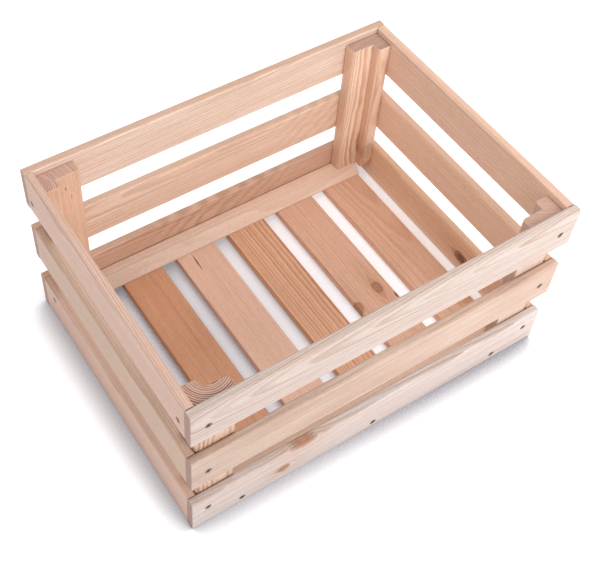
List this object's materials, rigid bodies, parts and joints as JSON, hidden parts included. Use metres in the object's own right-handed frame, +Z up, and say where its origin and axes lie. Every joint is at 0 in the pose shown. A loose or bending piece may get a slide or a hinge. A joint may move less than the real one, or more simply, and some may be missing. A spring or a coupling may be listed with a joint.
{
  "type": "toy box",
  "caption": "Open rectangular toy box of bare pine: rounded rails screwed to L-section corner posts, and a spaced-slat floor held under bevelled cleats.",
  "frame": {"origin": "on the ground, at the middle of the box's footprint", "axes": "+X along the long sides, towards the right end; +Y from the front to the back; +Z up"},
  "size_m": [0.4, 0.297, 0.2],
  "materials": {
    "rail_pine": "planed and sanded, uncoated",
    "post_pine": "moulded and sanded, uncoated",
    "cleat_pine": "moulded, uncoated",
    "slat_pine": "planed, uncoated",
    "dark_screw": "dark phosphate, satin",
    "bright_nail": "plain steel"
  },
  "bodies": {
    "root": {"front_rail_top": "rail_pine", "front_rail_middle": "rail_pine", "front_rail_bottom": "rail_pine", "back_rail_top": "rail_pine", "back_rail_middle": "rail_pine", "back_rail_bottom": "rail_pine", "left_rail_top": "rail_pine", "left_rail_middle": "rail_pine", "left_rail_bottom": "rail_pine", "right_rail_top": "rail_pine", "right_rail_middle": "rail_pine", "right_rail_bottom": "rail_pine", "corner_post_front_left": "post_pine", "corner_post_front_right": "post_pine", "corner_post_back_left": "post_pine", "corner_post_back_right": "post_pine", "floor_cleat_front": "cleat_pine", "floor_cleat_back": "cleat_pine", "floor_slat_1": "slat_pine", "floor_slat_2": "slat_pine", "floor_slat_3": "slat_pine", "floor_slat_4": "slat_pine", "floor_slat_5": "slat_pine", "floor_slat_6": "slat_pine", "front_corner_screws": "dark_screw", "back_corner_screws": "dark_screw", "left_side_screws": "dark_screw", "right_side_screws": "dark_screw", "front_cleat_screws": "dark_screw", "back_cleat_screws": "dark_screw", "floor_nails_front": "bright_nail", "floor_nails_back": "bright_nail"}
  },
  "joints": []
}
